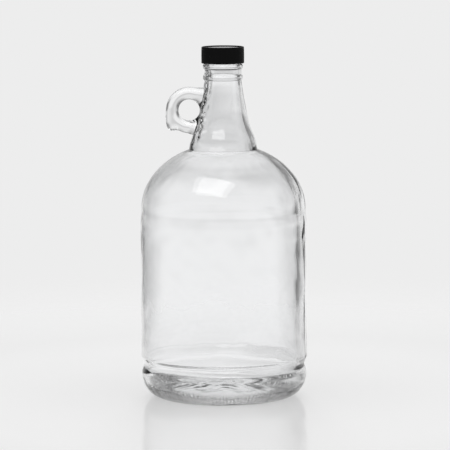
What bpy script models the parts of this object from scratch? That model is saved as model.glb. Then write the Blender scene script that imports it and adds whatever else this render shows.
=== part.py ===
"""Handled glass jug of the one-gallon (four-litre) size, closed by a 38 mm black screw cap.

The jug is one moulding of glass: a round body with two slightly proud bands above and below
a label panel, a domed shoulder, a bell-shaped neck, a finger ring with a thumb spur on the
-X side, and a threaded finish for the cap.  The cap is a plastic shell with its own thread,
and a loose foam disc in its top seals on the rim of the glass.

Lengths below are in millimetres; the meshes are made in metres.  +Z is up and the origin is
on the jug's axis, in the plane it stands on.
"""

import math

import bmesh
import bpy
from mathutils import Vector

MM = 0.001

# --- roundness of the turned shapes -------------------------------------------------------
SEGMENTS = 40  # facets round a turned shape; a multiple of 4 puts corners on both axes
ARC_STEP = math.radians(24)  # longest facet along a rounded corner
DOME_STEPS = 9

# --- body of the jug ----------------------------------------------------------------------
PUNT_HEIGHT = 10.5  # how far the underside is pushed up at the middle
BEARING_INNER, BEARING_OUTER = 54.5, 59.6  # flat ring that the jug stands on
BODY_RADIUS = 79.0  # over the two proud bands
PANEL_RADIUS = 78.7  # label panel between the bands
HEEL_RADIUS, HEEL_RISE = 78.4, 23.0  # a quarter ellipse up from the bearing ring
LOWER_GROOVE_RADIUS, LOWER_GROOVE_Z = 76.4, 31.0
UPPER_GROOVE_RADIUS, UPPER_GROOVE_Z = 77.6, 171.5
LOWER_BAND = (38.0, 48.0)  # bottom and top of each proud band
UPPER_BAND = (152.0, 161.0)
BAND_SLOPE = 12.0  # height over which a band blends into the label panel

# --- shoulder and neck --------------------------------------------------------------------
DOME_Z = 179.5  # widest level of the elliptical shoulder
DOME_RADIUS, DOME_RISE = 77.9, 61.6
CREASE_RADIUS, CREASE_RADIUS_INSIDE = 32.2, 29.7  # where the dome meets the bell of the neck
NECK_RADIUS = 17.5
BEAD_RADIUS, BEAD_HALF = 19.0, 2.6  # the two rings moulded round the neck
TRANSFER_BEAD_Z, COLLAR_BEAD_Z = 303.75, 314.0

# --- glass thickness ----------------------------------------------------------------------
BODY_BORE = 75.3
FLOOR_Z, FLOOR_RISE = 6.0, 10.0  # inside floor at the heel, and its rise to the middle
HEEL_FILLET_INSIDE = 15.0
DOME_RADIUS_INSIDE, DOME_RISE_INSIDE = 74.9, 58.9
NECK_BORE = 14.6

# --- threaded finish, 38 mm, six threads per inch -----------------------------------------
RIM_Z = 329.4
FINISH_RADIUS = 17.45
RIM_CHAMFER = 0.8
PITCH = 25.4 / 6
THREAD_TURNS = 1.25
GLASS_THREAD_START_Z = 321.0
GLASS_THREAD_ROOT, GLASS_THREAD_CREST = 17.1, 18.6
THREAD_ROOT_HALF, THREAD_CREST_HALF = 1.2, 0.55  # half widths of a thread, along the axis
THREAD_RUN_OUT = 4  # facets over which a thread fades in or out

# --- finger ring and thumb spur, in the X-Z plane -----------------------------------------
HOLE_X, HOLE_Z = -32.0, 273.0  # middle of the finger hole
RING_RADIUS, RING_TUBE = 16.0, 6.05  # centre line of the ring and radius of its glass
SPUR_OFFSET = (-16.3, -13.6)  # from the middle of the hole
SPUR_RADII = (6.1, 4.8, 6.1)
HANDLE_SIDES = 12
RING_STEPS = 24

# --- cap and liner ------------------------------------------------------------------------
CAP_BOTTOM_Z, CAP_HEIGHT = 317.2, 15.7
CAP_RADIUS_BOTTOM, CAP_RADIUS_TOP = 20.25, 20.1
CAP_EDGE_FILLET = 0.9
CAP_BORE = 18.95
CAP_TOP_THICKNESS = 1.9
CAP_THREAD_ROOT, CAP_THREAD_CREST = 19.4, 18.1
CAP_THREAD_DROP = 1.75  # the cap's thread bears up against the glass thread from below
LINER_RADIUS, LINER_THICKNESS = 18.3, 1.0
GAP = 0.3  # clearance between pieces that rest on each other


# --- outlines -----------------------------------------------------------------------------
def rounded(corners):
    """Points along a line of (radius, height, fillet) corners, with an arc at each fillet."""
    points = []
    for i, (r, z, fillet) in enumerate(corners):
        corner = Vector((r, z))
        if fillet == 0 or i in (0, len(corners) - 1):
            points.append((r, z))
            continue
        back = (Vector(corners[i - 1][:2]) - corner).normalized()
        ahead = (Vector(corners[i + 1][:2]) - corner).normalized()
        opening = back.angle(ahead)
        centre = corner + (back + ahead).normalized() * fillet / math.sin(opening / 2)
        start = corner + back * fillet / math.tan(opening / 2) - centre
        finish = corner + ahead * fillet / math.tan(opening / 2) - centre
        from_angle = math.atan2(start.y, start.x)
        turn = math.remainder(math.atan2(finish.y, finish.x) - from_angle, math.tau)
        steps = math.ceil(abs(turn) / ARC_STEP)
        for k in range(steps + 1):
            angle = from_angle + turn * k / steps
            points.append(
                (centre.x + fillet * math.cos(angle), centre.y + fillet * math.sin(angle))
            )
    return points


def dome(radius, rise, end_radius):
    """Points up an elliptical shoulder, from its widest level to the radius of the neck."""
    last = math.acos(end_radius / radius)
    angles = [last * k / DOME_STEPS for k in range(1, DOME_STEPS + 1)]
    return [(radius * math.cos(a), DOME_Z + rise * math.sin(a)) for a in angles]


def bead(z):
    """A half-round ring on the neck, from below it to above it."""
    bulge = BEAD_RADIUS - NECK_RADIUS
    angles = [math.pi * k / 4 for k in range(5)]
    return [(NECK_RADIUS + bulge * math.sin(a), z - BEAD_HALF * math.cos(a)) for a in angles]


def jug_outside():
    """Outline of the glass from the middle of the underside up to the rim."""
    underside = rounded(
        [
            (0, PUNT_HEIGHT, 0),
            (30, PUNT_HEIGHT - 1.5, 60),
            (BEARING_INNER - 4, 1.0, 6),
            (BEARING_INNER, 0, 0),
        ]
    )
    reach = HEEL_RADIUS - BEARING_OUTER
    turns = [math.radians(15 * k) for k in range(6)]
    heel = [
        (BEARING_OUTER + reach * math.sin(a), HEEL_RISE * (1 - math.cos(a))) for a in turns
    ]
    wall = rounded(
        [
            (HEEL_RADIUS, HEEL_RISE, 0),
            (HEEL_RADIUS, HEEL_RISE + 2.5, 2.5),
            (LOWER_GROOVE_RADIUS, LOWER_GROOVE_Z, 5),
            (BODY_RADIUS, LOWER_BAND[0], 6),
            (BODY_RADIUS, LOWER_BAND[1], 0),
            (PANEL_RADIUS, LOWER_BAND[1] + BAND_SLOPE, 0),
            (PANEL_RADIUS, UPPER_BAND[0] - BAND_SLOPE, 0),
            (BODY_RADIUS, UPPER_BAND[0], 0),
            (BODY_RADIUS, UPPER_BAND[1], 8),
            (UPPER_GROOVE_RADIUS, UPPER_GROOVE_Z, 6),
            (DOME_RADIUS, DOME_Z, 0),
        ]
    )
    shoulder = dome(DOME_RADIUS, DOME_RISE, CREASE_RADIUS)
    neck = rounded(
        [
            (*shoulder[-1], 0),
            (31.3, 241.5, 8),
            (30.0, 246.6, 8),
            (25.6, 256.0, 14),
            (23.9, 262.5, 20),
            (19.2, 288.0, 40),
            (NECK_RADIUS + 0.1, 299.5, 0),
        ]
    )
    finish = [
        (FINISH_RADIUS, COLLAR_BEAD_Z + BEAD_HALF + 0.6),
        (FINISH_RADIUS, RIM_Z - RIM_CHAMFER),
        (FINISH_RADIUS - RIM_CHAMFER, RIM_Z),
    ]
    return (
        underside
        + heel
        + wall
        + shoulder
        + neck[1:]
        + bead(TRANSFER_BEAD_Z)
        + bead(COLLAR_BEAD_Z)
        + finish
        + [(0, RIM_Z)]
    )


def jug_inside():
    """Outline of the space inside, from the middle of its floor to above the rim."""
    lower = rounded(
        [
            (0, FLOOR_Z + FLOOR_RISE, 0),
            (30, FLOOR_Z + FLOOR_RISE - 1.5, 60),
            (57, FLOOR_Z, 10),
            (BODY_BORE, FLOOR_Z, HEEL_FILLET_INSIDE),
            (BODY_BORE, DOME_Z - 9, 0),
            (DOME_RADIUS_INSIDE, DOME_Z, 0),
        ]
    )
    shoulder = dome(DOME_RADIUS_INSIDE, DOME_RISE_INSIDE, CREASE_RADIUS_INSIDE)
    neck = rounded(
        [
            (*shoulder[-1], 0),
            (28.5, 240.8, 8),
            (27.2, 245.6, 8),
            (23.0, 255.0, 14),
            (21.3, 262.3, 20),
            (16.6, 288.0, 40),
            (NECK_BORE, 299.5, 0),
        ]
    )
    mouth = [
        (NECK_BORE, RIM_Z - RIM_CHAMFER),
        (NECK_BORE + 3 * RIM_CHAMFER, RIM_Z + 2 * RIM_CHAMFER),
        (0, RIM_Z + 2 * RIM_CHAMFER),
    ]
    return lower + shoulder + neck[1:] + mouth


def cap_shell():
    """Outline of the cap's shell, heights counted from its lower edge: up inside, then out."""
    inner_top = CAP_HEIGHT - CAP_TOP_THICKNESS
    return rounded(
        [
            (0, inner_top, 0),
            (CAP_BORE, inner_top, 0),
            (CAP_BORE, 0.6, 0),
            (CAP_BORE + 0.4, 0, 0),
            (CAP_RADIUS_BOTTOM, 0, 0.3),
            (CAP_RADIUS_TOP, CAP_HEIGHT, CAP_EDGE_FILLET),
            (0, CAP_HEIGHT, 0),
        ]
    )


# --- solids -------------------------------------------------------------------------------
def finish_mesh(bm, name, location=(0, 0, 0)):
    """Closes off a bmesh in millimetres as a smooth-shaded object in metres."""
    bmesh.ops.remove_doubles(bm, verts=bm.verts, dist=0.001)
    bmesh.ops.recalc_face_normals(bm, faces=bm.faces)
    bmesh.ops.scale(bm, vec=(MM, MM, MM), verts=bm.verts)
    mesh = bpy.data.meshes.new(name)
    bm.to_mesh(mesh)
    bm.free()
    mesh.shade_smooth()
    mesh.set_sharp_from_angle(angle=math.radians(35))
    obj = bpy.data.objects.new(name, mesh)
    obj.location = location
    bpy.context.scene.collection.objects.link(obj)
    return obj


def turned(name, outline, location=(0, 0, 0)):
    """A solid of revolution about Z from (radius, height) points that start and end on Z."""
    bm = bmesh.new()
    verts = [bm.verts.new((r, 0, z)) for r, z in outline]
    edges = [bm.edges.new(pair) for pair in zip(verts, verts[1:])]
    bmesh.ops.spin(
        bm,
        geom=verts + edges,
        cent=(0, 0, 0),
        axis=(0, 0, 1),
        angle=math.tau,
        steps=SEGMENTS,
        use_merge=True,
    )
    return finish_mesh(bm, name, location)


def swept(name, sections, location=(0, 0, 0)):
    """A solid skinned over closed sections that all have the same number of points."""
    bm = bmesh.new()
    rings = [[bm.verts.new(p) for p in section] for section in sections]
    for ring, following in zip(rings, rings[1:]):
        for k in range(len(ring)):
            j = (k + 1) % len(ring)
            bm.faces.new((ring[k], ring[j], following[j], following[k]))
    bm.faces.new(rings[0])
    bm.faces.new(reversed(rings[-1]))
    return finish_mesh(bm, name, location)


def thread(name, root, crest, start_z, location=(0, 0, 0)):
    """A right-hand thread: a trapezoid carried round and up, fading out at both ends."""
    steps = round(THREAD_TURNS * SEGMENTS)
    sections = []
    for i in range(steps + 1):
        angle = math.tau * i / SEGMENTS
        z = start_z + PITCH * i / SEGMENTS
        height = max(0.08, min(1, i / THREAD_RUN_OUT, (steps - i) / THREAD_RUN_OUT))
        top = root + (crest - root) * height
        crest_half = THREAD_ROOT_HALF + (THREAD_CREST_HALF - THREAD_ROOT_HALF) * height
        section = [
            (root, z - THREAD_ROOT_HALF),
            (top, z - crest_half),
            (top, z + crest_half),
            (root, z + THREAD_ROOT_HALF),
        ]
        sections.append([(r * math.cos(angle), r * math.sin(angle), h) for r, h in section])
    return swept(name, sections, location)


def tube(name, path):
    """Glass rod along (x, z, radius) points counted from the middle of the finger hole."""
    sections = []
    for i, (x, z, radius) in enumerate(path):
        before, after = path[max(i - 1, 0)], path[min(i + 1, len(path) - 1)]
        along = Vector((after[0] - before[0], 0, after[1] - before[1])).normalized()
        across = Vector((-along.z, 0, along.x))
        centre = Vector((HOLE_X + x, 0, HOLE_Z + z))
        section = []
        for k in range(HANDLE_SIDES):
            angle = math.tau * (k + 0.5) / HANDLE_SIDES
            offset = across * math.cos(angle) + Vector((0, 1, 0)) * math.sin(angle)
            section.append(centre + offset * radius)
        sections.append(section)
    return swept(name, sections)


def finger_ring():
    """The full ring round the finger hole; its right side runs through the neck's wall."""
    bm = bmesh.new()
    angles = [math.tau * k / HANDLE_SIDES for k in range(HANDLE_SIDES)]
    verts = [
        bm.verts.new((RING_RADIUS + RING_TUBE * math.cos(a), RING_TUBE * math.sin(a), 0))
        for a in angles
    ]
    edges = [bm.edges.new((verts[k - 1], verts[k])) for k in range(HANDLE_SIDES)]
    bmesh.ops.spin(
        bm,
        geom=verts + edges,
        cent=(0, 0, 0),
        axis=(0, 1, 0),
        angle=math.tau,
        steps=RING_STEPS,
        use_merge=True,
    )
    bmesh.ops.translate(bm, vec=(HOLE_X, 0, HOLE_Z), verts=bm.verts)
    return finish_mesh(bm, "ring_solid")


def ring_arms():
    """The two arms that carry the ring: from the neck at its top, and from the bell below."""
    upper = [(-4, 15.6, 4.6), (3, 15.3, 5.8), (10, 14.7, 6.6), (20, 12.8, 7.4)]
    lower = [(-6, -15.2, 4.6), (-1, -16.2, 5.8), (5, -17.2, 7.0), (14, -19.2, 8.6)]
    return tube("upper_arm_solid", upper), tube("lower_arm_solid", lower)


def thumb_spur():
    """The rounded lobe below the ring that keeps it off the fingers next to it."""
    bm = bmesh.new()
    bmesh.ops.create_icosphere(bm, subdivisions=2, radius=1)
    bmesh.ops.scale(bm, vec=SPUR_RADII, verts=bm.verts)
    middle = Vector((HOLE_X + SPUR_OFFSET[0], 0, HOLE_Z + SPUR_OFFSET[1]))
    bmesh.ops.translate(bm, vec=middle, verts=bm.verts)
    return finish_mesh(bm, "spur_solid")


def combine(target, tool, operation):
    """Adds or cuts one solid, and keeps the tool as a hidden wire guide."""
    modifier = target.modifiers.new(f"{operation.lower()} {tool.name}", "BOOLEAN")
    modifier.operation = operation
    modifier.object = tool
    modifier.solver = "EXACT"
    tool.hide_render = True
    tool.display_type = "WIRE"


# --- materials ----------------------------------------------------------------------------
def material(name, colour, roughness, metallic=0.0, transmission=0.0, ior=1.5):
    mat = bpy.data.materials.new(name)
    mat.use_nodes = True
    shader = mat.node_tree.nodes["Principled BSDF"]
    shader.inputs["Base Color"].default_value = (*colour, 1)
    shader.inputs["Roughness"].default_value = roughness
    shader.inputs["Metallic"].default_value = metallic
    shader.inputs["Transmission Weight"].default_value = transmission
    shader.inputs["IOR"].default_value = ior
    mat.diffuse_color = (*colour, 1)
    return mat


# --- the three pieces ---------------------------------------------------------------------
def glass_jug():
    jug = turned("glass_jug", jug_outside())
    glass_thread = thread(
        "glass_thread_solid", GLASS_THREAD_ROOT, GLASS_THREAD_CREST, GLASS_THREAD_START_Z
    )
    for added in (finger_ring(), *ring_arms(), thumb_spur(), glass_thread):
        combine(jug, added, "UNION")
    combine(jug, turned("jug_cavity", jug_inside()), "DIFFERENCE")
    jug.data.materials.append(
        material("clear_flint_glass", (0.93, 0.95, 0.94), 0.02, transmission=1.0, ior=1.52)
    )
    return jug


def screw_cap():
    """The cap, with its origin on the screw axis at its lower edge."""
    place = (0, 0, CAP_BOTTOM_Z * MM)
    cap = turned("screw_cap", cap_shell(), place)
    start = GLASS_THREAD_START_Z - CAP_THREAD_DROP - CAP_BOTTOM_Z
    combine(
        cap,
        thread("cap_thread_solid", CAP_THREAD_ROOT, CAP_THREAD_CREST, start, place),
        "UNION",
    )
    cap.data.materials.append(material("black_cap_plastic", (0.012, 0.012, 0.013), 0.28))
    return cap


def cap_liner():
    """The sealing disc, with its origin on the screw axis at its lower face."""
    place = (0, 0, (RIM_Z + GAP) * MM)
    edge = [(0, 0), (LINER_RADIUS, 0), (LINER_RADIUS, LINER_THICKNESS), (0, LINER_THICKNESS)]
    liner = turned("cap_liner", edge, place)
    liner.data.materials.append(material("white_foam", (0.85, 0.84, 0.80), 0.75))
    return liner


def main():
    for obj in list(bpy.data.objects):
        bpy.data.objects.remove(obj)
    glass_jug()
    screw_cap()
    cap_liner()


main()
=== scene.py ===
"""Looks of the handled glass jug: fine glass, ribbed cap, liner, floor, light and camera.

Outlines are (radius, height) in millimetres, from the jug's axis and from the plane it stands
on.  Materials, lights and the camera are in metres.  The viewer is on the -Y side and the
finger ring on the -X side.
"""

import math

import bmesh
import bpy
from mathutils import Matrix, Quaternion, Vector, noise


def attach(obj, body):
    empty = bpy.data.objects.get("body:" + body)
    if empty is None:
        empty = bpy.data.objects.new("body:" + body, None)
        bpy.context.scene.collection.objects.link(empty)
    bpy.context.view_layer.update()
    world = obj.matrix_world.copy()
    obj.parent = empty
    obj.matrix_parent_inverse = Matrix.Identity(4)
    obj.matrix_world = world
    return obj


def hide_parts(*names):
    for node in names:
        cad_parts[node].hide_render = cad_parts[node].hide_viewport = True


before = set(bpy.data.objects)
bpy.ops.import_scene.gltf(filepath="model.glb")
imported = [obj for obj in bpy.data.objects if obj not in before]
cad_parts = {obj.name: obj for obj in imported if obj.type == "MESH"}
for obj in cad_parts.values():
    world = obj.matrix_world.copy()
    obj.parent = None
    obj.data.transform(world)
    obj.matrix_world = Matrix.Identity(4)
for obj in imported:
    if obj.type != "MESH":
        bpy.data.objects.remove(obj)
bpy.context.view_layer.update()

MM = 0.001
TAU = math.tau

# --- sizes shared with the CAD, in millimetres ------------------------------------------------
PUNT_HEIGHT = 10.5  # how far the underside is pushed up at the middle
BEARING_INNER, BEARING_OUTER = 54.5, 59.6  # ring that the jug stands on
HEEL_RADIUS, HEEL_RISE = 78.4, 23.0  # a quarter ellipse up from the bearing ring
DOME_Z = 179.5  # widest level of the elliptical shoulder
DOME_RADIUS, DOME_RISE = 77.9, 61.6
CREASE_RADIUS = 32.2  # where the dome meets the bell of the neck
NECK_RADIUS, NECK_BORE = 17.5, 14.6
TRANSFER_BEAD_Z, COLLAR_BEAD_Z, BEAD_HALF = 303.75, 314.0, 2.6
RIM_Z = 329.4
FINISH_RADIUS = 17.45
PITCH = 25.4 / 6
THREAD_TURNS, THREAD_HALF = 1.25, 1.2
GLASS_THREAD_START_Z, GLASS_THREAD_CREST = 321.0, 18.6
HOLE_X, HOLE_Z = -32.0, 273.0  # middle of the finger hole
RING_RADIUS, RING_TUBE = 16.0, 6.05
CAP_BOTTOM_Z, CAP_HEIGHT = 317.2, 15.7
CAP_RADIUS_BOTTOM, CAP_RADIUS_TOP = 20.25, 20.1
CAP_BORE, CAP_CEILING_Z = 18.95, 13.8  # inside of the cap, from its own bottom edge
CAP_THREAD_CREST, CAP_THREAD_DROP = 18.1, 1.75
LINER_RADIUS, LINER_THICKNESS = 18.3, 1.0
GAP = 0.3  # between the rim and the liner

# --- sizes that only the looks have, in millimetres -------------------------------------------
BODY_RADIUS = 78.92  # over the two proud bands, without the parting line
PANEL_DROP = 0.3  # how far the label panel lies below the bands
LOWER_GROOVE = (1.95, 31.0, 8.0)  # depth, height and half width
UPPER_GROOVE = (0.15, 176.5, 4.0)
TRANSFER_BULGE, COLLAR_BULGE = 1.3, 1.5
WALL = 3.7  # thickness of the body's glass
CREASE_SPAN, CREASE_PASSES = (233, 243), 500  # where and how often the inside is eased
FLOOR_Z, FLOOR_MIDDLE_Z = 4.5, 16.0  # inside floor near the heel and at the middle
THICK_SIDE = 5.5  # extra glass in the +X wall
WAVE, RIPPLE = 0.4, 0.14  # long and short unevenness of the inside wall
FLOOR_WAVE, FLOOR_RIPPLE = 0.6, 0.3
SEAM, SEAM_LUMPS = 1.3, 2.2  # extra glass up the neck beside the finger ring
KNURL = 0.8
PARTING_LINE = 0.07
CAP_RIBS, RIB_DEPTH = 120, 0.2
CAP_RECESS = 0.7  # how far the disc on top of the cap lies below its rim
CAP_THREAD_ROOT = 19.3

# --- facets -----------------------------------------------------------------------------------
AROUND = 180  # round the glass; even, so that the knurling closes
DOME_STEPS = 34
BEAD_STEPS = 12
THREAD_STEPS = 144  # in one turn
ROD_SIDES = 40
RING_STEPS = 96


# --- outlines ---------------------------------------------------------------------------------
def rounded(corners, arc_step=math.radians(6)):
    """Points along a line of (radius, height, fillet) corners, with an arc at each fillet."""
    points = []
    for i, (r, z, fillet) in enumerate(corners):
        corner = Vector((r, z))
        if fillet == 0 or i in (0, len(corners) - 1):
            points.append((r, z))
            continue
        back = (Vector(corners[i - 1][:2]) - corner).normalized()
        ahead = (Vector(corners[i + 1][:2]) - corner).normalized()
        opening = back.angle(ahead)
        centre = corner + (back + ahead).normalized() * fillet / math.sin(opening / 2)
        start = corner + back * fillet / math.tan(opening / 2) - centre
        finish = corner + ahead * fillet / math.tan(opening / 2) - centre
        from_angle = math.atan2(start.y, start.x)
        turn = math.remainder(math.atan2(finish.y, finish.x) - from_angle, TAU)
        steps = max(3, math.ceil(abs(turn) / arc_step))
        for k in range(steps + 1):
            angle = from_angle + turn * k / steps
            points.append(
                (centre.x + fillet * math.cos(angle), centre.y + fillet * math.sin(angle))
            )
    return points


def dome():
    """Points up the elliptical shoulder, from just above its widest level to the crease."""
    last = math.acos(CREASE_RADIUS / DOME_RADIUS)
    angles = [last * k / DOME_STEPS for k in range(1, DOME_STEPS + 1)]
    return [(DOME_RADIUS * math.cos(a), DOME_Z + DOME_RISE * math.sin(a)) for a in angles]


def bead(z, bulge):
    """A ring moulded round the neck."""
    angles = [math.pi * k / BEAD_STEPS for k in range(BEAD_STEPS + 1)]
    return [(NECK_RADIUS + bulge * math.sin(a), z - BEAD_HALF * math.cos(a)) for a in angles]


def filled_in(points, longest):
    """The same outline with long straight runs divided, so that it can be bent and waved."""
    out = [points[0]]
    for a, b in zip(points, points[1:]):
        steps = max(1, math.ceil(math.dist(a, b) / longest))
        out += [(a[0] + (b[0] - a[0]) * k / steps, a[1] + (b[1] - a[1]) * k / steps)
                for k in range(1, steps + 1)]
    return out


def ease(z, low, high):
    """0 below low and 1 above high, with a smooth rise between them."""
    t = min(1, max(0, (z - low) / (high - low)))
    return t * t * (3 - 2 * t)


def groove(z, depth, middle, half):
    """How deep a round-bottomed groove is at a height."""
    return depth * (0.5 + 0.5 * math.cos(math.pi * min(1, abs(z - middle) / half)))


def side_radius(z):
    """Radius of the body's side: heel, groove, proud band, label panel, band, groove."""
    r = HEEL_RADIUS + (BODY_RADIUS - HEEL_RADIUS) * ease(z, 33, 40)
    r -= PANEL_DROP * (ease(z, 48, 60) - ease(z, 140, 152))
    r -= (BODY_RADIUS - DOME_RADIUS) * ease(z, 165, 177)
    return r - groove(z, *LOWER_GROOVE) - groove(z, *UPPER_GROOVE)


def jug_side():
    """The outside from the heel's top, over the body and the shoulder, up to the neck's rings.

    Its points are close together where the side bends, and far apart on the label panel.
    """
    heights = [HEEL_RISE + k for k in range(40)]
    heights += [66.0 + k * 4.0 for k in range(22)]
    heights += [152.0 + k * 1.25 for k in range(22)]
    wall = [(side_radius(z), z) for z in heights]
    shoulder = dome()
    neck = rounded(
        [
            (*shoulder[-4], 0),
            (*shoulder[-1], 0.6),
            (31.3, 241.5, 6),
            (29.7, 247.2, 26),
            (25.9, 255.8, 40),
            (23.8, 263.0, 60),
            (19.2, 288.0, 120),
            (NECK_RADIUS + 0.05, 300.6, 0),
        ],
        math.radians(2.5),
    )
    return wall + shoulder[:-3] + filled_in(neck[1:], 3.0)


def jug_outside():
    """From the middle of the underside to the inner edge of the sealing rim."""
    underside = rounded(
        [(0, PUNT_HEIGHT, 0), (30, 9.0, 60), (BEARING_INNER - 4, 1.0, 6), (BEARING_INNER, 0, 0)]
    )
    bearing = [(BEARING_INNER + 0.7 + 1.2 * k, 0.0) for k in range(4)]
    width = HEEL_RADIUS - BEARING_OUTER
    heel = [(BEARING_OUTER + width * math.sin(a), HEEL_RISE * (1 - math.cos(a)))
            for a in (math.radians(4 * k) for k in range(22))]
    beads = bead(TRANSFER_BEAD_Z, TRANSFER_BULGE) + bead(COLLAR_BEAD_Z, COLLAR_BULGE)
    finish = rounded(
        [
            (FINISH_RADIUS, CAP_BOTTOM_Z, 0),
            (FINISH_RADIUS, RIM_Z, 1.0),
            (NECK_BORE + 1.4, RIM_Z, 0),
        ],
        math.radians(15),
    )
    return underside + bearing + heel + jug_side() + beads + finish


def thickness(z):
    """Glass in the wall: thinner up the shoulder to the crease, thicker again up the neck."""
    thinned = WALL - 0.7 * ease(z, 175, 215) - 1.2 * ease(z, 222, 240)
    return thinned + 1.2 * min(1, max(0, (z - 240) / 50))


def inset(points):
    """The outline moved inwards by the glass thickness, along its own normals."""
    out = []
    for before, point, after in zip(points, points[1:], points[2:]):
        along = (Vector(after) - Vector(before)).normalized()
        t = thickness(point[1])
        out.append((point[0] - along.y * t, point[1] + along.x * t))
    return out


def eased_crease(side):
    """The inside of the crease is much rounder than the outside, because it is only blown."""
    low, high = CREASE_SPAN
    for _ in range(CREASE_PASSES):
        side = [side[0]] + [
            ((a[0] + b[0] * 2 + c[0]) / 4, (a[1] + b[1] * 2 + c[1]) / 4) if low < b[1] < high else b
            for a, b, c in zip(side, side[1:], side[2:])
        ] + [side[-1]]
    return side


def jug_inside():
    """From the middle of the inside floor up to the mouth."""
    side = eased_crease([p for p in inset(jug_side()) if 26 < p[1] < 299.5])
    bore = side[0][0]
    lower = rounded([
        (0, FLOOR_MIDDLE_Z, 0),
        (30, FLOOR_MIDDLE_Z - 1.5, 60),
        (55, FLOOR_Z, 10),
        (bore, FLOOR_Z, 18),
        (bore, 25, 0),
    ])
    mouth = rounded([(NECK_BORE, 304, 0), (NECK_BORE, RIM_Z, 1.2), (NECK_BORE + 1.4, RIM_Z, 0)])
    return filled_in(lower, 3.5) + side + filled_in(mouth, 3.0)[:-1]


# --- solids -----------------------------------------------------------------------------------
def smoothed(mesh, sharp):
    """Smooth shading, apart from edges sharper than an angle in degrees."""
    mesh.shade_smooth()
    mesh.set_sharp_from_angle(angle=math.radians(sharp))


def to_object(bm, name, sharp=40):
    """An object in metres from a bmesh in millimetres."""
    bmesh.ops.recalc_face_normals(bm, faces=bm.faces)
    bmesh.ops.scale(bm, vec=(MM, MM, MM), verts=bm.verts)
    mesh = bpy.data.meshes.new(name)
    bm.to_mesh(mesh)
    bm.free()
    smoothed(mesh, sharp)
    obj = bpy.data.objects.new(name, mesh)
    bpy.context.scene.collection.objects.link(obj)
    return obj


def turned(name, outline, shape=None, around=AROUND, sharp=40):
    """A closed solid of revolution; shape may move a point, given (r, z, angle, facet)."""
    bm = bmesh.new()
    rows = []
    for r, z in outline:
        if r < 1e-6:
            rows.append([bm.verts.new((0, 0, z))])
            continue
        ring = []
        for k in range(around):
            angle = TAU * k / around
            rr, zz = shape(r, z, angle, k) if shape else (r, z)
            ring.append(bm.verts.new((rr * math.cos(angle), rr * math.sin(angle), zz)))
        rows.append(ring)
    for low, high in zip(rows, rows[1:]):
        for k in range(around):
            j = (k + 1) % around
            if len(low) == 1:
                bm.faces.new((low[0], high[j], high[k]))
            elif len(high) == 1:
                bm.faces.new((low[k], low[j], high[0]))
            else:
                bm.faces.new((low[k], low[j], high[j], high[k]))
    return to_object(bm, name, sharp)


def swept(name, sections):
    """A closed solid through a row of sections that all have as many points."""
    bm = bmesh.new()
    rings = [[bm.verts.new(p) for p in section] for section in sections]
    for ring, following in zip(rings, rings[1:]):
        for k in range(len(ring)):
            j = (k + 1) % len(ring)
            bm.faces.new((ring[k], ring[j], following[j], following[k]))
    bm.faces.new(rings[0])
    bm.faces.new(reversed(rings[-1]))
    return to_object(bm, name)


def applied(obj):
    """Bakes an object's modifiers into its mesh."""
    graph = bpy.context.evaluated_depsgraph_get()
    mesh = bpy.data.meshes.new_from_object(obj.evaluated_get(graph), depsgraph=graph)
    old = obj.data
    obj.modifiers.clear()
    obj.data = mesh
    bpy.data.meshes.remove(old)
    return obj


def combine(target, tool, operation):
    """Joins the tool to the target, or cuts it out, and uses the tool up."""
    modifier = target.modifiers.new("join", "BOOLEAN")
    modifier.operation = operation
    modifier.object = tool
    modifier.solver = "EXACT"
    applied(target)
    bpy.data.objects.remove(tool)


def thread(name, root, crest, start_z):
    """A screw thread with a round crest, which fades in and out over a twelfth of a turn."""
    steps = round(THREAD_TURNS * THREAD_STEPS)
    run_out = THREAD_STEPS / 12
    sections = []
    for i in range(steps + 1):
        angle = TAU * i / THREAD_STEPS
        z = start_z + PITCH * i / THREAD_STEPS
        height = max(0.06, math.sin(min(1, i / run_out, (steps - i) / run_out) * math.pi / 2))
        section = []
        for k in range(9):
            across = k / 8 * 2 - 1
            lift = (1 - abs(across) ** 3) * height
            section.append((root + (crest - root) * lift, z + THREAD_HALF * across))
        sections.append([(r * math.cos(angle), r * math.sin(angle), h) for r, h in section])
    return swept(name, sections)


# --- finger ring and thumb spur ---------------------------------------------------------------
# Rods of glass through (x, z, radius) knots, counted from the middle of the finger hole.
UPPER_ARM = (
    (-9, 14, 3.6), (-4, 15.8, 5.0), (3, 15.6, 5.7), (10, 14.8, 6.6), (20, 12.6, 7.6), (26, 11, 8),
)
LOWER_ARM = (
    (-9, -14, 3.6), (-5, -15.4, 5.0), (-1, -16.2, 5.9), (5, -17.2, 7.0), (14, -19.4, 8.8),
    (20, -21, 9),
)
SPUR_FOOT = (
    (-24, -12, 4), (-16.8, -13.4, 5.6), (-12, -13.6, 5.6), (-7, -14.2, 5.7), (-2, -15.6, 6),
    (4, -17, 6),
)
SPUR_WEB = (
    (-20, 6, 4), (-17, 1, 5.5), (-16.6, -5, 5.8), (-16.6, -10, 5.8), (-16.4, -13, 5.6),
    (-16, -18, 5),
)
SPUR_OFFSET, SPUR_RADII = (-16.3, -13.6), (5.8, 5.7, 6.2)
VOXEL = 0.65 * MM


def smooth_path(knots, steps):
    """Catmull-Rom points through the knots, which leave out the first knot and the last."""
    out = []
    for i in range(1, len(knots) - 2):
        p0, p1, p2, p3 = (Vector(k) for k in knots[i - 1:i + 3])
        for k in range(steps):
            t = k / steps
            out.append(0.5 * ((2 * p1) + (p2 - p0) * t + (2 * p0 - 5 * p1 + 4 * p2 - p3) * t * t
                              + (3 * p1 - p0 - 3 * p2 + p3) * t ** 3))
    out.append(Vector(knots[-2]))
    return out


def circle_angles():
    return [TAU * k / ROD_SIDES for k in range(ROD_SIDES)]


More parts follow.
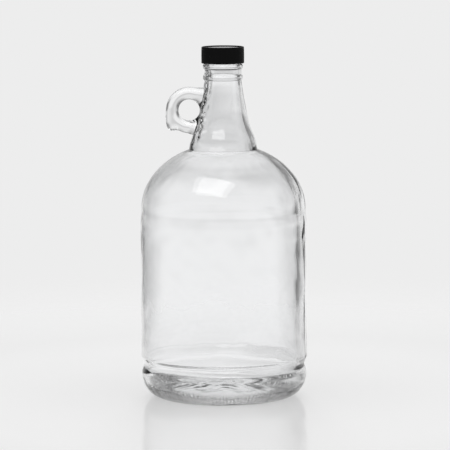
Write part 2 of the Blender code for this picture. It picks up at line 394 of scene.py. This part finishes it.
def rod(name, knots):
    """A round rod of changing thickness, in the plane of the finger ring."""
    path = smooth_path(knots, 6)
    sections = []
    for i, (x, z, radius) in enumerate(path):
        before, after = path[max(i - 1, 0)], path[min(i + 1, len(path) - 1)]
        along = Vector((after[0] - before[0], 0, after[1] - before[1])).normalized()
        across = Vector((-along.z, 0, along.x))
        centre = Vector((HOLE_X + x, 0, HOLE_Z + z))
        sections.append([
            centre + (across * math.cos(a) + Vector((0, 1, 0)) * math.sin(a)) * radius
            for a in circle_angles()
        ])
    return swept(name, sections)


def finger_ring():
    """A torus round the finger hole."""
    bm = bmesh.new()
    verts = [bm.verts.new((RING_RADIUS + RING_TUBE * math.cos(a), RING_TUBE * math.sin(a), 0))
             for a in circle_angles()]
    edges = [bm.edges.new((verts[k - 1], verts[k])) for k in range(ROD_SIDES)]
    bmesh.ops.spin(bm, geom=verts + edges, cent=(0, 0, 0), axis=(0, 1, 0), angle=TAU,
                   steps=RING_STEPS, use_merge=True)
    bmesh.ops.translate(bm, vec=(HOLE_X, 0, HOLE_Z), verts=bm.verts)
    return to_object(bm, "ring_work")


def thumb_spur():
    """The knob at the foot of the spur."""
    bm = bmesh.new()
    bmesh.ops.create_uvsphere(bm, u_segments=32, v_segments=20, radius=1)
    bmesh.ops.scale(bm, vec=SPUR_RADII, verts=bm.verts)
    place = (HOLE_X + SPUR_OFFSET[0], 0, HOLE_Z + SPUR_OFFSET[1])
    bmesh.ops.translate(bm, vec=place, verts=bm.verts)
    return to_object(bm, "spur_work")


def fire_polished(obj):
    """Rounds every edge of a lump of glass, most of all where the spur runs into the ring."""
    remesh = obj.modifiers.new("voxels", "REMESH")
    remesh.mode = "VOXEL"
    remesh.voxel_size = VOXEL
    remesh.adaptivity = 0
    smooth = obj.modifiers.new("fire polish", "SMOOTH")
    smooth.factor = 0.5
    smooth.iterations = 20
    applied(obj)
    near = obj.vertex_groups.new(name="near_spur")
    spot = Vector((HOLE_X - 14, 0, HOLE_Z - 11))
    for v in obj.data.vertices:
        away = (Vector((v.co.x, 0, v.co.z)) / MM - spot).length
        near.add([v.index], 1 - ease(away, 5, 14), "REPLACE")
    melt = obj.modifiers.new("melt", "SMOOTH")
    melt.vertex_group = near.name
    melt.factor = 0.5
    melt.iterations = 90
    return applied(obj)


def handle():
    """Finger ring, its two arms and the thumb spur, melted into one smooth lump of glass."""
    ring = finger_ring()
    combine(ring, rod("upper_work", UPPER_ARM), "UNION")
    combine(ring, rod("lower_work", LOWER_ARM), "UNION")
    combine(ring, thumb_spur(), "UNION")
    combine(ring, rod("foot_work", SPUR_FOOT), "UNION")
    combine(ring, rod("web_work", SPUR_WEB), "UNION")
    return fire_polished(ring)


# --- the three pieces -------------------------------------------------------------------------
def wavy(r, z, angle, k):
    """The blown inside wall: a thick +X side, a lumpy seam by the ring, and small unevenness."""
    p = Vector((math.cos(angle) * 1.3, math.sin(angle) * 1.3, z / 70))
    size = min(1, r / 60) * min(1, max(0, (z - 14) / 25)) * min(1, max(0, (300 - z) / 30))
    r -= THICK_SIDE * size * (0.5 + 0.5 * math.cos(angle)) - 0.3 * size
    seam = max(0, -math.cos(angle)) ** 5 * ease(z, 237, 246) * (1 - ease(z, 306, 316))
    r -= seam * (SEAM + SEAM_LUMPS * noise.noise(Vector((angle * 3.5, 0.3, z / 6))))
    spot = Vector((r * math.cos(angle), r * math.sin(angle), 9)) / 17
    floor_waves = FLOOR_WAVE * noise.noise(spot) + FLOOR_RIPPLE * noise.noise(spot * 2.7)
    z += (1 - ease(z, 14, 26)) * floor_waves
    return r + size * (WAVE * noise.noise(p * 1.7) + RIPPLE * noise.noise(p * 5)), z


def knurled(r, z, angle, k):
    """Fine radial knurling on the bearing ring, and the mould's parting line on both sides."""
    if BEARING_INNER + 0.3 < r < BEARING_OUTER - 0.1 and z < 0.6:
        z += KNURL * (k % 2)
    if z > 3 and k in (0, AROUND // 2) and r > 20:
        r += PARTING_LINE
    return r, z


def ribbed(r, z, angle, k):
    """Fine upright ribs on the cap's skirt."""
    if r > 19.45 and 0.9 < z < CAP_HEIGHT - 1.6:
        r -= RIB_DEPTH * (0.5 - 0.5 * math.cos(angle * CAP_RIBS)) ** 2
    return r, z


def glass_jug():
    """The jug with its thread and handle, and then the cavity cut out of it."""
    jug = turned("jug_glass", jug_outside() + [(0, RIM_Z)], knurled)
    root = FINISH_RADIUS - 0.35
    glass_thread = thread("glass_thread_work", root, GLASS_THREAD_CREST, GLASS_THREAD_START_Z)
    combine(jug, glass_thread, "UNION")
    combine(jug, handle(), "UNION")
    inside = jug_inside()
    top = RIM_Z + 3
    cavity = turned("cavity_work", inside + [(inside[-1][0] + 0.6, top), (0, top)], wavy)
    combine(jug, cavity, "DIFFERENCE")
    smoothed(jug.data, 38)
    return jug


def screw_cap():
    """The cap's shell with a sunk disc on top, and its thread."""
    disc_z = CAP_HEIGHT - CAP_RECESS
    outline = (
        [(0, CAP_CEILING_Z), (CAP_BORE, CAP_CEILING_Z), (CAP_BORE, 0.6), (19.3, 0.0)]
        + rounded(
            [
                (19.4, 0, 0),
                (20.2, 0, 0.5),
                (CAP_RADIUS_BOTTOM, 7.5, 0),
                (CAP_RADIUS_TOP, CAP_HEIGHT, 0.8),
                (18.9, CAP_HEIGHT, 0.4),
                (18.7, disc_z, 0.3),
                (16.5, disc_z, 0),
            ],
            math.radians(12),
        )
        + [(15, disc_z), (8, disc_z), (0, disc_z)]
    )
    cap = turned("cap_shell", filled_in(outline, 1.2), ribbed, around=6 * CAP_RIBS, sharp=50)
    thread_z = GLASS_THREAD_START_Z - CAP_THREAD_DROP - CAP_BOTTOM_Z
    cap_thread = thread("cap_thread_work", CAP_THREAD_ROOT, CAP_THREAD_CREST, thread_z)
    combine(cap, cap_thread, "UNION")
    cap.data.transform(Matrix.Translation((0, 0, CAP_BOTTOM_Z * MM)))
    smoothed(cap.data, 40)
    return cap


def cap_liner():
    """The soft disc that seals the cap on the rim."""
    edge = 0.35
    outline = rounded(
        [
            (0, 0, 0),
            (LINER_RADIUS, 0, edge),
            (LINER_RADIUS, LINER_THICKNESS, edge),
            (0, LINER_THICKNESS, 0),
        ],
        math.radians(15),
    )
    liner = turned("liner_disc", filled_in(outline, 1.5), around=96)
    liner.data.transform(Matrix.Translation((0, 0, (RIM_Z + GAP) * MM)))
    return liner


# --- shader nodes -----------------------------------------------------------------------------
def new_material(name):
    mat = bpy.data.materials.new(name)
    mat.use_nodes = True
    nt = mat.node_tree
    return mat, nt, nt.nodes["Principled BSDF"]


def link(nt, a, out, b, into):
    nt.links.new(a.outputs[out], b.inputs[into])


def grey(level):
    return (level, level, level, 1)


def object_coord(nt):
    return nt.nodes.new("ShaderNodeTexCoord").outputs["Object"]


def axes(nt, vector):
    """The X, Y and Z of a vector."""
    node = nt.nodes.new("ShaderNodeSeparateXYZ")
    nt.links.new(vector, node.inputs["Vector"])
    return node.outputs["X"], node.outputs["Y"], node.outputs["Z"]


def length(nt, vector):
    node = nt.nodes.new("ShaderNodeVectorMath")
    node.operation = "LENGTH"
    nt.links.new(vector, node.inputs[0])
    return node.outputs["Value"]


def math_node(nt, operation, a, b=None):
    """Arithmetic on one or two values; each is a socket or a number."""
    node = nt.nodes.new("ShaderNodeMath")
    node.operation = operation
    for i, v in enumerate((a, b)):
        if v is None:
            continue
        if isinstance(v, (int, float)):
            node.inputs[i].default_value = v
        else:
            nt.links.new(v, node.inputs[i])
    return node.outputs[0]


def map_range(nt, value, start, end, low=0.0, high=1.0, smooth=False):
    """A value that goes from start to end, turned into one that goes from low to high."""
    node = nt.nodes.new("ShaderNodeMapRange")
    if smooth:
        node.interpolation_type = "SMOOTHSTEP"
    settings = (("From Min", start), ("From Max", end), ("To Min", low), ("To Max", high))
    for socket, number in settings:
        node.inputs[socket].default_value = number
    nt.links.new(value, node.inputs["Value"])
    return node.outputs["Result"]


def mixed(nt, share, below, above):
    """One colour turning into another; each is a socket or a colour."""
    node = nt.nodes.new("ShaderNodeMix")
    node.data_type = "RGBA"
    nt.links.new(share, node.inputs["Factor"])
    for socket, colour in zip((node.inputs[6], node.inputs[7]), (below, above)):
        if isinstance(colour, tuple):
            socket.default_value = colour
        else:
            nt.links.new(colour, socket)
    return node.outputs[2]


def ramp(nt, share, stops):
    """The colour at a share from 0 to 1, along (position, colour) stops."""
    node = nt.nodes.new("ShaderNodeValToRGB")
    while len(node.color_ramp.elements) < len(stops):
        node.color_ramp.elements.new(0.5)
    for element, (position, colour) in zip(node.color_ramp.elements, stops):
        element.position = position
        element.color = colour
    nt.links.new(share, node.inputs["Fac"])
    return node.outputs["Color"]


def grain_noise(nt, coord, scale):
    node = nt.nodes.new("ShaderNodeTexNoise")
    node.inputs["Scale"].default_value = scale
    node.inputs["Detail"].default_value = 2
    nt.links.new(coord, node.inputs["Vector"])
    return node.outputs["Fac"]


def relief(nt, height, strength, depth, under=None):
    """Normals bumped by a height, on top of other bumped normals if they are given."""
    node = nt.nodes.new("ShaderNodeBump")
    node.inputs["Strength"].default_value = strength
    node.inputs["Distance"].default_value = depth
    nt.links.new(height, node.inputs["Height"])
    if under:
        nt.links.new(under, node.inputs["Normal"])
    return node.outputs["Normal"]


def blended_shader(nt, share, first, second):
    node = nt.nodes.new("ShaderNodeMixShader")
    for i, socket in enumerate((share, first, second)):
        nt.links.new(socket, node.inputs[i])
    return node.outputs["Shader"]


# --- materials, in metres ---------------------------------------------------------------------
CLEAR = (0.985, 0.988, 0.992, 1)
PAINTED_FOOT_SHADE = grey(0.02)  # painted shade: the colour that darkens the glass of the stippled foot
PUNT_EDGE = (0.048, 0.053)  # the stippling and its painted shade start between these distances from the middle
FOOT_TOP, FOOT_FULL = 0.0115, 0.007  # it fades in downwards between these heights
SHADED_SIDES = (0.015, 0.065)  # the stippling and its painted shade grow heavier between these distances to the left and right
SHADED_SIDE_RISE = 0.004  # how much lower it starts there
STIPPLE_SCALE, RIDGES = 480, 132
CAP_DISC_EDGE = (0.0185, 0.0193)  # the polished disc ends between these radii
DISC_ROUGHNESS, SKIRT_ROUGHNESS = 0.1, 0.32
CAP_DARK, CAP_LIGHT = (0.0006, 0.0006, 0.0007, 1), (0.0022, 0.0022, 0.0024, 1)
LINER_DARK, LINER_LIGHT = (0.74, 0.73, 0.69, 1), (0.88, 0.87, 0.83, 1)


def stipple_and_painted_shade(nt, coord):
    """Share of painted shade, from 0 to 1, in the stippled and ridged foot; most at the sides, and
    the height of its relief.
    """
    x, y, z = axes(nt, coord)
    outside_punt = map_range(nt, length(nt, coord), *PUNT_EDGE)
    sides = map_range(nt, math_node(nt, "ABSOLUTE", x), *SHADED_SIDES, smooth=True)
    height = math_node(nt, "SUBTRACT", z, math_node(nt, "MULTIPLY", sides, SHADED_SIDE_RISE))
    foot = map_range(nt, height, FOOT_TOP, FOOT_FULL, smooth=True)
    around = math_node(nt, "MULTIPLY", math_node(nt, "ARCTAN2", x, y), RIDGES)
    ridges = math_node(nt, "MULTIPLY", math_node(nt, "SINE", around), 0.12)
    speckle = math_node(nt, "ADD", grain_noise(nt, coord, STIPPLE_SCALE), ridges)
    grain = map_range(nt, speckle, 0.47, 0.53)
    # painted shade: heavier at the left and right sides of the foot
    strength = math_node(nt, "ADD", math_node(nt, "MULTIPLY", sides, 0.6), 0.35)
    stipple_and_shade = math_node(nt, "MULTIPLY", foot, grain)
    stipple_and_shade = math_node(nt, "MULTIPLY", stipple_and_shade, outside_punt)
    return math_node(nt, "MULTIPLY", stipple_and_shade, strength)


def glass_material():
    """Clear glass with a faint orange peel, and the stippled foot, darkened with painted shade."""
    mat, nt, shader = new_material("flint_glass")
    shader.inputs["Base Color"].default_value = CLEAR
    shader.inputs["Roughness"].default_value = 0.0
    shader.inputs["IOR"].default_value = 1.52
    shader.inputs["Transmission Weight"].default_value = 1.0
    coord = object_coord(nt)
    stipple_and_shade = stipple_and_painted_shade(nt, coord)
    # painted shade: the foot's glass turns dark where the share is high
    nt.links.new(mixed(nt, stipple_and_shade, CLEAR, PAINTED_FOOT_SHADE), shader.inputs["Base Color"])
    peel = relief(nt, grain_noise(nt, coord, 55), 0.05, 0.0004)
    nt.links.new(relief(nt, stipple_and_shade, 0.8, 0.0009, peel), shader.inputs["Normal"])
    return mat


def grained(nt, shader, coord, scale, strength, depth, dark, light):
    """Fine grain that shows in the relief and, a little, in the colour."""
    grain = grain_noise(nt, coord, scale)
    nt.links.new(relief(nt, grain, strength, depth), shader.inputs["Normal"])
    nt.links.new(ramp(nt, grain, ((0, dark), (1, light))), shader.inputs["Base Color"])


def cap_material():
    """Black plastic: a satin skirt and rim, and a polished disc on top."""
    mat, nt, shader = new_material("black_cap")
    shader.inputs["Specular IOR Level"].default_value = 0.1
    coord = object_coord(nt)
    flat = nt.nodes.new("ShaderNodeVectorMath")
    flat.operation = "MULTIPLY"
    flat.inputs[1].default_value = (1, 1, 0)
    nt.links.new(coord, flat.inputs[0])
    radius = length(nt, flat.outputs["Vector"])
    polish = map_range(nt, radius, *CAP_DISC_EDGE, DISC_ROUGHNESS, SKIRT_ROUGHNESS)
    nt.links.new(polish, shader.inputs["Roughness"])
    grained(nt, shader, coord, 900, 0.05, 0.00008, CAP_DARK, CAP_LIGHT)
    return mat


def liner_material():
    """Off-white foam."""
    mat, nt, shader = new_material("liner_foam")
    shader.inputs["Roughness"].default_value = 0.8
    grained(nt, shader, object_coord(nt), 2500, 0.5, 0.0001, LINER_DARK, LINER_LIGHT)
    return mat


# --- stage, in metres -------------------------------------------------------------------------
PALE = 0.847  # the backdrop as the camera sees it

# Grey level of the surroundings against azimuth, in degrees from straight behind the jug and
# positive towards +X: over the table, level with it, and above it.
LOW_LEVELS = (
    (-180, 0.75), (-112, 0.8), (-90, 0.85), (-74, 0.6), (-65, 0.15), (-45, 0.13), (-33, 0.17),
    (-25, 0.48), (-17, 0.86), (0, 0.895), (20, 0.88), (28, 0.66), (37, 0.25), (50, 0.15),
    (66, 0.15), (76, 0.6), (90, 0.85), (112, 0.8), (180, 0.75),
)
MID_LEVELS = (
    (-180, 0.6), (-112, 0.7), (-90, 0.75), (-76, 0.5), (-62, 0.2), (-46, 0.25), (-34, 0.5),
    (-16, 0.72), (-4, 0.62), (4, 0.62), (11, 0.72), (30, 0.8), (44, 0.55), (58, 0.7), (90, 0.75),
    (120, 0.7), (180, 0.6),
)
HIGH_LEVELS = (
    (-180, 0.5), (-115, 0.5), (-90, 0.5), (-72, 0.15), (-50, 0.12), (-28, 0.2), (-16, 0.55),
    (-8, 0.75), (0, 0.78), (8, 0.76), (16, 0.6), (28, 0.3), (55, 0.2), (72, 0.2), (90, 0.5),
    (120, 0.5), (180, 0.5),
)
CEILING = 0.3

# How strongly the floor shines of itself, against the distance from the jug's axis; the dip round
# the jug's foot is a painted shadow.
FLOOR_GLOW_AND_PAINTED_SHADOW = (
    (0.0, 0.66), (0.045, 0.6), (0.1, 0.62), (0.2, 0.655), (0.28, 0.66), (0.38, 0.625), (0.6, 0.68),
    (0.9, 0.69),
)
FLOOR_RADIUS = 0.9
FLOOR_FADE = (0.3, 0.88)

LIGHTS_AIM = Vector((0, 0, 0.2))
CAMERA_PLACE = (0.00133, -2.897, 0.5062)
CAMERA_DOWN, CAMERA_ROLL = 6.75, -0.29  # degrees
CAMERA_LENS, CAMERA_SENSOR = 245.7, 36  # millimetres


def around_room(nt, share, levels):
    """Grey levels spread round the horizon."""
    return ramp(nt, share, [(0.5 + degrees / 360, grey(level)) for degrees, level in levels])


def studio_world():
    """A pale backdrop for the camera, and darker flags at the sides for the glass to bend."""
    world = bpy.data.worlds.new("studio")
    bpy.context.scene.world = world
    world.use_nodes = True
    nt = world.node_tree
    nt.nodes.clear()
    x, y, height = axes(nt, nt.nodes.new("ShaderNodeTexCoord").outputs["Generated"])
    turns = math_node(nt, "DIVIDE", math_node(nt, "ARCTAN2", x, y), TAU)
    share = math_node(nt, "ADD", turns, 0.5)
    room = around_room(nt, share, LOW_LEVELS)
    for start, end, above in (
        (-0.135, -0.055, around_room(nt, share, MID_LEVELS)),
        (-0.03, 0.1, around_room(nt, share, HIGH_LEVELS)),
        (0.55, 0.85, grey(CEILING)),
    ):
        room = mixed(nt, map_range(nt, height, start, end, smooth=True), room, above)
    path = nt.nodes.new("ShaderNodeLightPath")
    seen = mixed(nt, path.outputs["Is Camera Ray"], room, grey(PALE))
    back = nt.nodes.new("ShaderNodeBackground")
    nt.links.new(seen, back.inputs["Color"])
    out = nt.nodes.new("ShaderNodeOutputWorld")
    link(nt, back, "Background", out, "Surface")


def floor_material():
    """A pale, slightly glossy table that glows of itself, with a painted shadow round the jug's
    foot, and fades away at its edge.
    """
    mat = bpy.data.materials.new("pale_floor")
    mat.use_nodes = True
    nt = mat.node_tree
    nt.nodes.clear()
    away = length(nt, object_coord(nt))
    diffuse = nt.nodes.new("ShaderNodeBsdfDiffuse")
    diffuse.inputs["Color"].default_value = grey(0.72)
    glow = nt.nodes.new("ShaderNodeEmission")
    # painted shadow: the glow dips round the jug's foot
    levels = ramp(nt, away, [(distance, grey(level)) for distance, level in FLOOR_GLOW_AND_PAINTED_SHADOW])
    nt.links.new(levels, glow.inputs["Color"])
    add = nt.nodes.new("ShaderNodeAddShader")
    link(nt, diffuse, "BSDF", add, 0)
    link(nt, glow, "Emission", add, 1)
    gloss = nt.nodes.new("ShaderNodeBsdfGlossy")
    gloss.inputs["Roughness"].default_value = 0.13
    fresnel = nt.nodes.new("ShaderNodeFresnel")
    fresnel.inputs["IOR"].default_value = 1.25
    skin = blended_shader(
        nt, fresnel.outputs["Fac"], add.outputs["Shader"], gloss.outputs["BSDF"]
    )
    fade = map_range(nt, away, *FLOOR_FADE, smooth=True)
    clear = nt.nodes.new("ShaderNodeBsdfTransparent")
    out = nt.nodes.new("ShaderNodeOutputMaterial")
    nt.links.new(blended_shader(nt, fade, skin, clear.outputs["BSDF"]), out.inputs["Surface"])
    return mat


def floor():
    """The round table top that the jug stands on."""
    bm = bmesh.new()
    bmesh.ops.create_circle(bm, cap_ends=True, radius=FLOOR_RADIUS, segments=96)
    mesh = bpy.data.meshes.new("floor")
    bm.to_mesh(mesh)
    bm.free()
    obj = bpy.data.objects.new("floor", mesh)
    bpy.context.scene.collection.objects.link(obj)
    mesh.materials.append(floor_material())


def softbox(name, azimuth, elevation, away, size, radiance, roll=0):
    """An area light aimed at the jug's middle; azimuth 0 is the viewer's side, 90 is +X."""
    a, e = math.radians(azimuth), math.radians(elevation)
    out = Vector((math.sin(a) * math.cos(e), -math.cos(a) * math.cos(e), math.sin(e)))
    data = bpy.data.lights.new(name, "AREA")
    data.shape = "RECTANGLE"
    data.size, data.size_y = size
    data.energy = radiance * math.pi * size[0] * size[1]
    obj = bpy.data.objects.new(name, data)
    obj.location = LIGHTS_AIM + out * away
    turn = (-out).to_track_quat("-Z", "Y") @ Quaternion((0, 0, 1), math.radians(roll))
    obj.rotation_euler = turn.to_euler()
    obj.visible_camera = False
    bpy.context.scene.collection.objects.link(obj)
    return obj


def lights():
    """A key light that glass and gloss show, and a back light for a soft shadow forwards."""
    key = softbox("key", -18, 54.5, 1.6, (1.2, 1.0), 2.1, roll=-8)
    key.visible_diffuse = False
    back = softbox("back", 180, 24, 1.8, (0.6, 0.5), 6.6)
    back.visible_glossy = False
    back.visible_transmission = False


def camera():
    """A long lens from the front, looking a little down."""
    data = bpy.data.cameras.new("camera")
    data.lens = CAMERA_LENS
    data.sensor_width = CAMERA_SENSOR
    data.clip_start, data.clip_end = 0.1, 100
    obj = bpy.data.objects.new("camera", data)
    tilt = Matrix.Rotation(math.radians(90 - CAMERA_DOWN), 4, "X")
    roll = Matrix.Rotation(math.radians(CAMERA_ROLL), 4, "Z")
    obj.matrix_world = Matrix.Translation(CAMERA_PLACE) @ tilt @ roll
    bpy.context.scene.collection.objects.link(obj)
    bpy.context.scene.camera = obj


def main():
    bpy.context.scene.view_settings.view_transform = "Standard"
    camera()
    jug, cap, liner = glass_jug(), screw_cap(), cap_liner()
    for piece, body, node, slot, mat in (
        (jug, "jug", "glass_jug", "clear_glass", glass_material()),
        (cap, "cap", "screw_cap", "cap_plastic", cap_material()),
        (liner, "liner", "cap_liner", "liner_foam", liner_material()),
    ):
        piece.data.materials.clear()
        piece.data.materials.append(mat)
        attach(piece, body)
        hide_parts(node)
    studio_world()
    floor()
    lights()


main()
